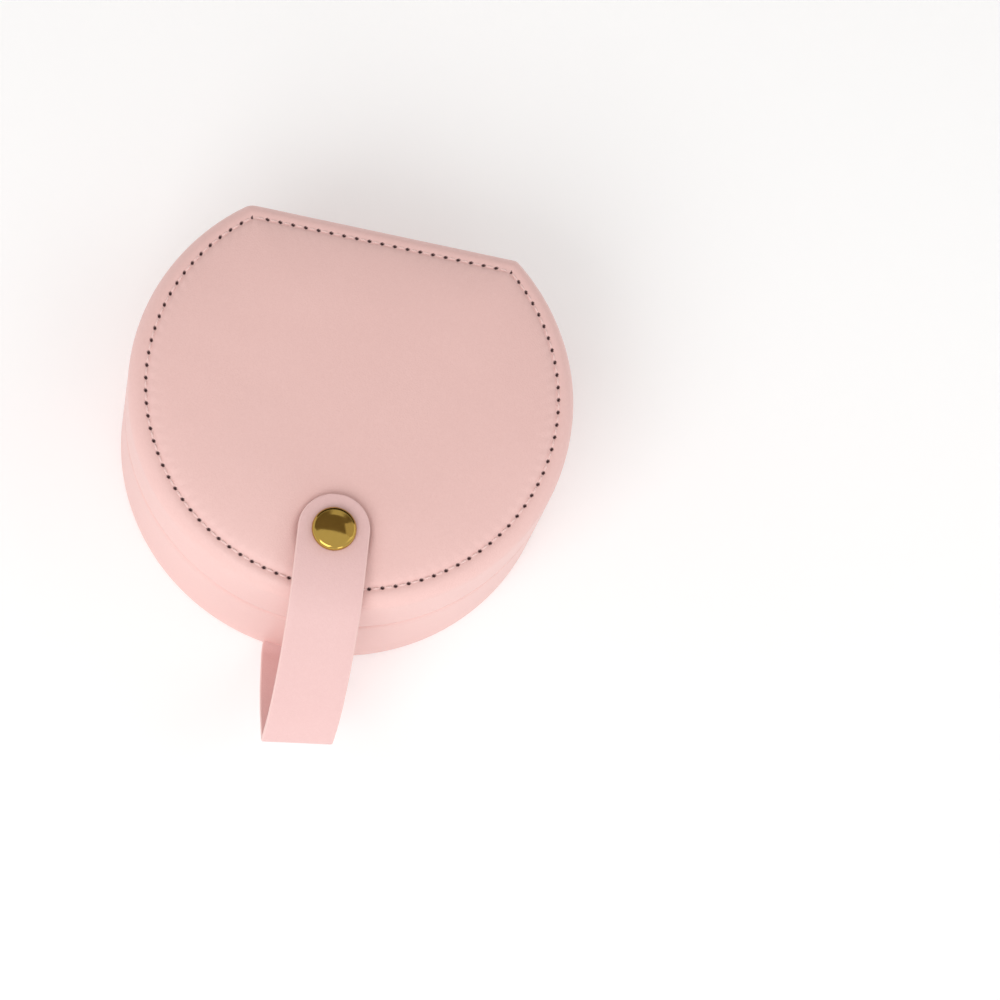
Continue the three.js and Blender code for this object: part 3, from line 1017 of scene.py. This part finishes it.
@dataclass
class Base:
    """The base: one leather skin from the rim down and under, its boards and linings."""

    outline: Outline
    finishes: Finishes
    lip: float = 1.1
    foot_round: float = 0.9

    def build(self) -> None:
        """Makes every piece of the base's shell."""
        top = box_mm("base_wall_cover")[1].z
        inner = self.outline.radius - box_mm("base_wall_lining")[1].x
        rim = [
            (inner + 0.7, top - 0.9),
            (inner + 0.6, top - 0.25),
            (inner + 0.2, top - 0.02),
            (inner - 1.2, top),
        ]
        lip = [
            (self.lip * (1 - math.sin(a)), top - self.lip * (1 - math.cos(a)))
            for a in (math.pi / 2 * i / 5 for i in range(6))
        ]
        span = top - self.lip - self.foot_round
        wall = [(0.0, top - self.lip - span * i / 10) for i in range(1, 11)]
        foot = [
            (self.foot_round * (1 - math.cos(a)), self.foot_round * (1 - math.sin(a)))
            for a in (math.pi / 2 * i / 6 for i in range(1, 7))
        ]
        under = [(3.0, 0.0), (8.0, 0.03), (14.0, 0.05), (22.0, 0.05), (32.0, 0.05), (42.0, 0.05)]
        profile = rim + lip + wall + foot + under
        rings = [self.outline.ring(inset) for inset, _ in profile]
        mesh = bmesh.new()
        rows = loft(mesh, self.outline.count, len(profile), lambda r, i: (*rings[r][i], profile[r][1]))
        close_ring(mesh, rows[-1])
        outward(mesh)
        skin = finished("base_leather_skin", mesh)
        self.finishes.dress(skin, Finish.LEATHER)
        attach(skin, "base")
        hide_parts("base_wall_cover", "base_rim_binding", "base_bottom_cover")
        self.finishes.dress_nodes(["base_wall_board", "base_floor_board"], Finish.BOARD)
        self.finishes.dress_nodes(["base_wall_lining", "base_floor_lining"], Finish.VELVET)


@dataclass
class Tray:
    """What the base holds: soft-edged dividers and rolls that grip rings."""

    finishes: Finishes
    divider_round: float = 0.9
    roll_flutter: float = 0.18
    roll_end: float = 2.2

    def build(self) -> None:
        """Makes the dividers and the rolls."""
        for name in ("divider_cross", "divider_front", "divider_left", "divider_right"):
            low, high = box_mm(name)
            wall = softened_block(f"{name}_velvet", low, high, self.divider_round)
            self.finishes.dress(wall, Finish.VELVET)
            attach(wall, "base")
            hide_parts(name)
        for number in range(1, 5):
            self._roll(number)

    def _roll(self, number: int) -> None:
        """A soft roll with rounded ends and a slightly uneven back.

        Args:
            number: the roll's number, from 1.
        """
        low, high = box_mm(f"ring_roll_{number}")
        half = (high.y - low.y) / 2
        middle = (low.y + high.y) / 2
        shoulder = high.z - half
        around, along = 40, 64

        def place(ring: int, index: int) -> Point:
            """A point of the roll."""
            t = ring / along
            x = low.x + (high.x - low.x) * (0.5 - 0.5 * math.cos(math.pi * t))
            end = min(x - low.x, high.x - x)
            shrink = math.sqrt(max(0.0, 1 - max(0.0, 1 - end / self.roll_end) ** 2))
            angle = 2 * math.pi * index / around
            y, z = math.cos(angle), math.sin(angle)
            wave = self.roll_flutter * noise.noise(Vector((x * 0.12, number * 7.0, index * 0.1)))
            if z >= 0:
                point = (middle + half * y * shrink, shoulder + (half * z + wave) * (0.35 + 0.65 * shrink))
            else:
                depth = (shoulder - low.z) * min(1.0, -z * 1.35)
                side = math.copysign(min(1.0, abs(y) * 1.6), y) if abs(y) > 1e-6 else 0.0
                point = (middle + half * side * shrink * 0.97, shoulder - depth)
            return (x, *point)

        mesh = bmesh.new()
        rows = loft(mesh, around, along + 1, place)
        for row in (rows[0], rows[-1]):
            bmesh.ops.contextual_create(mesh, geom=row)
        bmesh.ops.remove_doubles(mesh, verts=mesh.verts, dist=1e-3)
        outward(mesh)
        roll = finished(f"ring_roll_{number}_velvet", mesh)
        self.finishes.dress(roll, Finish.VELVET)
        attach(roll, "base")
        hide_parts(f"ring_roll_{number}")


@dataclass
class Hinge:
    """The leather spine between the base and the lid at the flat side."""

    outline: Outline
    finishes: Finishes
    reach: float = 4.6
    thickness: float = 0.5
    margin: float = 1.0
    sink: float = 0.02
    crease_depth: float = 0.35
    crease_width: float = 0.5
    bend_reach: float = 1.2
    columns: int = 48
    rows: int = 24

    def build(self) -> None:
        """Makes the outer leather spine."""
        crease = joint_mm("lid_hinge")
        half = box_mm("hinge_crease")[1].x - self.margin
        mesh = bmesh.new()
        bmesh.ops.create_grid(mesh, x_segments=self.columns, y_segments=self.rows, size=1.0)
        for vert in mesh.verts:
            u, v = vert.co.x, vert.co.y
            dip = self.crease_depth * math.exp(-((v * self.reach / self.crease_width) ** 2))
            vert.co = (u * half, self.outline.chord - self.sink - dip, crease.z + v * self.reach)
        bmesh.ops.recalc_face_normals(mesh, faces=mesh.faces)
        bmesh.ops.solidify(mesh, geom=mesh.faces, thickness=self.thickness)
        outward(mesh)
        spine = finished("hinge_leather_spine", mesh)
        self.finishes.dress(spine, Finish.LEATHER)
        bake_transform(spine)
        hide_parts("hinge_crease")


@dataclass(frozen=True)
class Turn:
    """A turn of the strap's middle line: its place, how far its curve reaches and the strap's slant."""

    place: Point
    reach: float
    slant: float


@dataclass
class Strap:
    """The strap, split half way along each layer so that each piece holds one crease."""

    finishes: Finishes
    edge_round: float = 0.34
    root_x: float = 0.1
    fold_x: float = 3.5
    fold_reach: float = 1.5
    tip_points: int = 16
    width: float = field(init=False)
    thickness: float = field(init=False)
    creases: list[Vector] = field(init=False)

    def __post_init__(self) -> None:
        """Reads the strap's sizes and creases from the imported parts."""
        low, high = box_mm("strap_tab")
        self.width = high.x - low.x
        self.thickness = high.z - low.z
        self.creases = [joint_mm(name) for name in ("strap_swing", "strap_unfold", "snap_peel")]

    def build(self) -> None:
        """Makes the strap's three pieces."""
        line = self._line()
        first, second = self._splits(line)
        last = len(line) - 1
        root, fold, bend = self.creases
        lower = self._piece("strap_leather_lower", line, 0, first)
        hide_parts("strap_tab", "strap_root_crease", "strap_back")
        self._bend(lower, root, (0, 1.6, -0.5), (0, -1.6, 1.9), "base", "strap_lower")
        middle = self._piece("strap_leather_middle", line, first, second)
        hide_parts("strap_fold_crease", "strap_front")
        self._bend(middle, fold, (0, 0, -1.4), (0, 0, 1.4), "strap_lower", "strap_upper")
        end = self._piece("strap_leather_end", line, second, last)
        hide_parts("strap_bend_crease", "strap_tip")
        self._bend(end, bend, (0, -3.0, -1.6), (0, 3.0, 1.6), "strap_upper", "strap_end")

    @staticmethod
    def _bend(
        piece: bpy.types.Object, crease: Vector, before: Point, after: Point, body: str, next_body: str
    ) -> None:
        """Bakes a piece's placement into its mesh; where a bend across the crease would start and end is
        worked out but not used.

        Args:
            piece: the piece.
            crease: the crease's place.
            before: from the crease to where the bend starts.
            after: from the crease to where it ends.
            body: the body on its first side; not used.
            next_body: the body on its second side; not used.
        """
        start, stop = (crease + Vector(before)) * MM, (crease + Vector(after)) * MM
        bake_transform(piece)
        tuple(start)
        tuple(stop)

    def _turns(self) -> list[Turn]:
        """The middle line's turns.

        Returns:
            The turns, from under the base to the tip.
        """
        root, fold, bend = self.creases
        tab = box_mm("strap_tab")
        low, high = box_mm("strap_tip")
        flat = high.z - self.thickness / 2
        return [
            Turn((self.root_x, tab[1].y, root.z), 0.0, 0.0),
            Turn((self.root_x, root.y + 0.4, root.z), 2.4, 0.06),
            Turn((self.root_x + 1.5, (root.y + fold.y) / 2, (root.z + fold.z) / 2 - 1.0), 10.0, 0.12),
            Turn((self.fold_x, fold.y + 1.1, fold.z), self.fold_reach, 0.16),
            Turn((self.fold_x + 0.3, fold.y + 5.4, fold.z + 8.4), 6.0, 0.12),
            Turn((self.fold_x + 0.1, fold.y + 15.0, fold.z + 18.2), 9.0, 0.09),
            Turn((bend.x + 1.4, bend.y + 0.3, bend.z + 0.8), 4.2, 0.07),
            Turn((bend.x + 0.6, bend.y + 9.0, flat - 0.2), 4.5, 0.06),
            Turn((bend.x - 0.6, high.y, flat), 0.0, 0.08),
        ]

    def _line(self, curve_points: int = 12, spacing: float = 0.8) -> list[tuple[Vector, float]]:
        """The middle line.

        Args:
            curve_points: points on each curve, less one.
            spacing: the longest gap between points.

        Returns:
            The line's points, each with the slant there.
        """
        turns = self._turns()
        knots = [Vector((*t.place, t.slant)) for t in turns]
        line = [knots[0]]
        for before, here, after, turn in zip(knots, knots[1:], knots[2:], turns[1:]):
            start = self._part_way(here, before, turn.reach)
            stop = self._part_way(here, after, turn.reach)
            for i in range(curve_points + 1):
                t = i / curve_points
                line.append(start * (1 - t) ** 2 + here * (2 * t * (1 - t)) + stop * t * t)
        tip = self.width / 2
        for i in range(self.tip_points + 1):
            back = tip * (1 - math.sin(math.pi / 2 * i / self.tip_points))
            line.append(self._part_way(knots[-1], knots[-2], back))
        return self._filled(line, spacing)

    @staticmethod
    def _part_way(start: Vector, stop: Vector, most: float) -> Vector:
        """The point, with its slant, a distance from start towards stop, and at most half way."""
        length = (stop - start).xyz.length
        return start + (stop - start) * min(most / length, 0.5)

    @staticmethod
    def _filled(line: list[Vector], spacing: float) -> list[tuple[Vector, float]]:
        """The line with points added on its long straight runs.

        Args:
            line: the line's points, with the slant as a fourth number.
            spacing: the longest gap between points.

        Returns:
            The filled line's points, each with the slant there.
        """
        full = [line[0]]
        for point in line[1:]:
            start = full[-1]
            gap = (point - start).xyz.length
            if gap < 1e-4:
                continue
            parts = max(1, math.ceil(gap / spacing))
            full += [start.lerp(point, i / parts) for i in range(1, parts + 1)]
        return [(point.xyz, point.w) for point in full]

    def _splits(self, line: list[tuple[Vector, float]]) -> tuple[int, int]:
        """Where the strap is split: half way up each of its two free layers.

        Args:
            line: the middle line.

        Returns:
            The numbers of the two points.
        """
        root, fold, bend = self.creases
        outer = min(range(len(line)), key=lambda i: line[i][0].y)
        lower = min(range(outer), key=lambda i: abs(line[i][0].z - (root.z + fold.z) / 2))
        upper = min(range(outer, len(line)), key=lambda i: abs(line[i][0].z - (fold.z + bend.z) / 2))
        return lower, upper

    def _section(self, flat_points: int = 9, corner_points: int = 5) -> list[Point2]:
        """The strap's cross-section, a rectangle with rounded edges.

        Args:
            flat_points: points added on each face.
            corner_points: points on each rounded edge.

        Returns:
            The section's (across, up) points.
        """
        half, thick, r = self.width / 2, self.thickness / 2, self.edge_round
        corners = [(half - r, thick - r), (r - half, thick - r), (r - half, r - thick), (half - r, r - thick)]
        points = []
        for number, (across, up) in enumerate(corners):
            for i in range(corner_points):
                angle = math.pi / 2 * (number + i / (corner_points - 1))
                points.append((across + r * math.cos(angle), up + r * math.sin(angle)))
            if number % 2 == 0:
                side = 1 if number == 0 else -1
                for i in range(1, flat_points + 1):
                    share = i / (flat_points + 1)
                    points.append((side * (half - r) * (1 - 2 * share), side * thick))
        return points

    def _piece(
        self, name: str, line: list[tuple[Vector, float]], start: int, stop: int
    ) -> bpy.types.Object:
        """Lofts the strap's section along part of the line.

        Args:
            name: the piece's name.
            line: the whole middle line with its slants.
            start: the first point of the part.
            stop: the last point of the part.

        Returns:
            The dressed piece.
        """
        section = self._section()
        half, r = self.width / 2, self.edge_round
        tip = line[-1][0]
        mesh = bmesh.new()
        mark = point_mark(mesh, "cut_edge")
        frames = []
        for index in range(start, stop + 1):
            here, slant = line[index]
            way = (line[min(index + 1, len(line) - 1)][0] - line[max(index - 1, 0)][0]).normalized()
            across = Vector((1.0, slant, 0.0)).normalized()
            up = across.cross(way).normalized()
            to_tip = (here - tip).length if index > len(line) // 2 else self.width
            reach = math.sqrt(max(half**2 - max(half - to_tip, 0.0) ** 2, 0.0))
            thin = r - math.sqrt(max(r * r - max(r - to_tip, 0.0) ** 2, 0.0))
            frames.append((here, across, up, reach, thin))

        def place(ring: int, index: int) -> Point:
            """A point of the strap."""
            here, across, up, reach, thin = frames[ring]
            a, b = section[index]
            if abs(a) > half - r:
                a = math.copysign(max(reach - (half - abs(a)), 0.0), a)
            else:
                a *= max(reach - r, 0.0) / (half - r)
            b -= math.copysign(min(thin, abs(b)), b)
            return tuple(here + across * a + up * b)

        rows = loft(mesh, len(section), len(frames), place)
        for row in rows:
            for vert, (a, _) in zip(row, section):
                vert[mark] = 1.0 if abs(a) > half - r * 0.7 else 0.0
        if stop == len(line) - 1:
            bmesh.ops.contextual_create(mesh, geom=rows[-1])
            bmesh.ops.remove_doubles(mesh, verts=mesh.verts, dist=2e-3)
        if start == 0:
            bmesh.ops.contextual_create(mesh, geom=rows[0])
        outward(mesh)
        return self.finishes.dress(finished(name, mesh), Finish.STRAP)


@dataclass
class Snap:
    """The press snap: a domed cap with a rolled rim over the strap, and the working halves under it."""

    finishes: Finishes
    dome: float = 0.62
    rim_round: float = 1.15

    def build(self) -> None:
        """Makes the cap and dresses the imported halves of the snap."""
        low, high = box_mm("snap_cap")
        strap_top = box_mm("strap_tip")[1].z
        middle = (low + high) / 2
        radius = (high.x - low.x) / 2
        foot = strap_top - 0.1
        crown = high.z - 0.1
        shoulder = crown - self.dome
        flat = radius - self.rim_round
        profile = [(0.0, crown)]
        profile += [(flat * i / 10, crown - self.dome * (i / 10) ** 2) for i in range(1, 10)]
        profile += [
            (flat + self.rim_round * math.sin(a), shoulder - self.rim_round * (1 - math.cos(a)))
            for a in (math.radians(10 * i) for i in range(1, 12))
        ]
        profile += [(radius - 0.28, foot + 0.12), (radius - 0.6, foot), (0.0, foot)]
        cap = turned("snap_gold_cap", profile, (middle.x, middle.y))
        self.finishes.dress(cap, Finish.GOLD)
        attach(cap, "strap_end")
        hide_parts("snap_cap")
        self.finishes.dress_nodes(["snap_socket", "snap_stud", "snap_stud_rivet"], Finish.GOLD)


# ---------------------------------------------------------------- the studio


@dataclass(frozen=True)
class Softbox:
    """A square light that points at the case."""

    name: str
    place: Point
    size: float
    power: float
    warmth: tuple[float, float, float] = (1.0, 1.0, 1.0)


@dataclass(frozen=True)
class Card:
    """A flat card, turned about the X axis by its tilt in degrees."""

    name: str
    middle: Point
    size: Point2
    tilt: float
    shade: tuple[float, float, float]
    mirrored_only: bool = False


@dataclass
class Studio:
    """The camera, a pale floor and soft light."""

    aim: Vector = field(default_factory=lambda: Vector((36.9, -18.7, 45.1)) * MM)
    distance: float = 806.3 * MM
    azimuth: float = math.radians(-14.2)
    elevation: float = math.radians(71.4)
    roll: float = math.radians(25.2)
    lens: float = 129.6
    floor_size: float = 6.0
    floor_glow: float = 0.1
    surround: float = 0.86
    softboxes: tuple[Softbox, ...] = (
        Softbox("key_softbox", (-0.32, -0.8, 0.80), 0.7, 4.6),
        Softbox("fill_softbox", (0.75, 0.2, 0.7), 0.8, 1.0),
        Softbox("low_softbox", (0.5, -0.75, 0.26), 0.26, 0.45),
    )
    cards: tuple[Card, ...] = (
        Card("ceiling_card", (60.0, 620.0, 1250.0), (3400.0, 1000.0), 0.0, (0.22, 0.18, 0.15)),
        Card(
            "back_card", (0.0, 1300.0, 620.0), (3400.0, 1240.0), 90.0, (0.03, 0.02, 0.015), mirrored_only=True
        ),
    )

    def build(self) -> None:
        """Sets up the whole studio."""
        self._camera()
        self._floor()
        for card in self.cards:
            self._hang(card)
        self._lights()

    def _camera(self) -> None:
        """Places the camera."""
        a, e, r = self.azimuth, self.elevation, self.roll
        back = Vector((math.sin(a) * math.cos(e), -math.cos(a) * math.cos(e), math.sin(e)))
        level = Vector((math.cos(a), math.sin(a), 0.0))
        across = level * math.cos(r) + back.cross(level) * math.sin(r)
        data = bpy.data.cameras.new("camera")
        data.lens = self.lens
        data.sensor_width = 36.0
        data.clip_start = 0.01
        camera = bpy.data.objects.new("camera", data)
        bpy.context.scene.collection.objects.link(camera)
        turn = Matrix((across, back.cross(across), back)).transposed().to_4x4()
        camera.matrix_world = Matrix.Translation(self.aim + back * self.distance) @ turn
        bpy.context.scene.camera = camera

    def _floor(self) -> None:
        """Lays a large pale floor under the case."""
        mesh = bmesh.new()
        half = self.floor_size / 2 / MM
        bmesh.ops.create_grid(mesh, x_segments=4, y_segments=4, size=half)
        bmesh.ops.translate(mesh, vec=(0, 0, -0.05), verts=mesh.verts)
        floor = finished("studio_floor", mesh)
        g = Graph("floor_paper")
        cloud = g.noise(g.object_mm(), 400.0)
        floor.data.materials.append(
            g.surface(
                {
                    "Base Color": g.mix(cloud, rgba(0.93, 0.93, 0.93), rgba(0.96, 0.96, 0.96)),
                    "Roughness": 0.9,
                    "Emission Color": rgba(1.0, 1.0, 1.0),
                    "Emission Strength": self.floor_glow,
                }
            )
        )

    def _hang(self, card: Card) -> None:
        """Hangs a dark card, which polished metal mirrors and the camera doesn't see.

        Args:
            card: the card. One that is mirrored only neither shades nor tints what is round it.
        """
        mesh = bmesh.new()
        bmesh.ops.create_grid(mesh, x_segments=2, y_segments=2, size=0.5)
        bmesh.ops.scale(mesh, vec=(*card.size, 1.0), verts=mesh.verts)
        turn = Matrix.Rotation(math.radians(card.tilt), 3, "X")
        bmesh.ops.rotate(mesh, cent=(0, 0, 0), matrix=turn, verts=mesh.verts)
        bmesh.ops.translate(mesh, vec=card.middle, verts=mesh.verts)
        piece = finished(card.name, mesh)
        piece.visible_camera = False
        piece.visible_diffuse = not card.mirrored_only
        piece.visible_shadow = not card.mirrored_only
        g = Graph(f"{card.name}_paper")
        grain = g.noise(g.object_mm(), 30.0)
        shade = g.mix(grain, rgba(*card.shade), rgba(*(1.3 * tone for tone in card.shade)))
        piece.data.materials.append(g.surface({"Base Color": shade, "Roughness": 0.9}))

    def _lights(self) -> None:
        """Hangs the softboxes and lights the surroundings evenly."""
        for box in self.softboxes:
            data = bpy.data.lights.new(box.name, "AREA")
            data.size = box.size
            data.energy = box.power
            data.color = box.warmth
            light = bpy.data.objects.new(box.name, data)
            bpy.context.scene.collection.objects.link(light)
            place = Vector(box.place)
            turn = (place - self.aim).to_track_quat("Z", "Y").to_matrix().to_4x4()
            light.matrix_world = Matrix.Translation(place) @ turn
        world = bpy.data.worlds.new("studio_air")
        world.use_nodes = True
        world.node_tree.nodes["Background"].inputs["Color"].default_value = rgba(1.0, 1.0, 1.0)
        world.node_tree.nodes["Background"].inputs["Strength"].default_value = self.surround
        bpy.context.scene.world = world
        bpy.context.scene.view_settings.view_transform = "Standard"


def main() -> None:
    """Builds every part of the case and the studio."""
    logging.basicConfig(level=logging.INFO, format="%(message)s")
    wall = box_mm("lid_wall_cover")
    outline = Outline(radius=wall[1].x, chord=wall[1].y)
    finishes = Finishes()
    assemblies = {
        "base": Base(outline, finishes),
        "tray": Tray(finishes),
        "hinge": Hinge(outline, finishes),
        "lid": Lid(outline, finishes),
        "strap": Strap(finishes),
        "snap": Snap(finishes),
        "studio": Studio(),
    }
    for name, assembly in assemblies.items():
        before = set(bpy.data.objects)
        assembly.build()
        made = sorted(piece.name for piece in set(bpy.data.objects) - before)
        LOG.info("%s: %s", name, ", ".join(made))


if __name__ == "__main__":
    main()
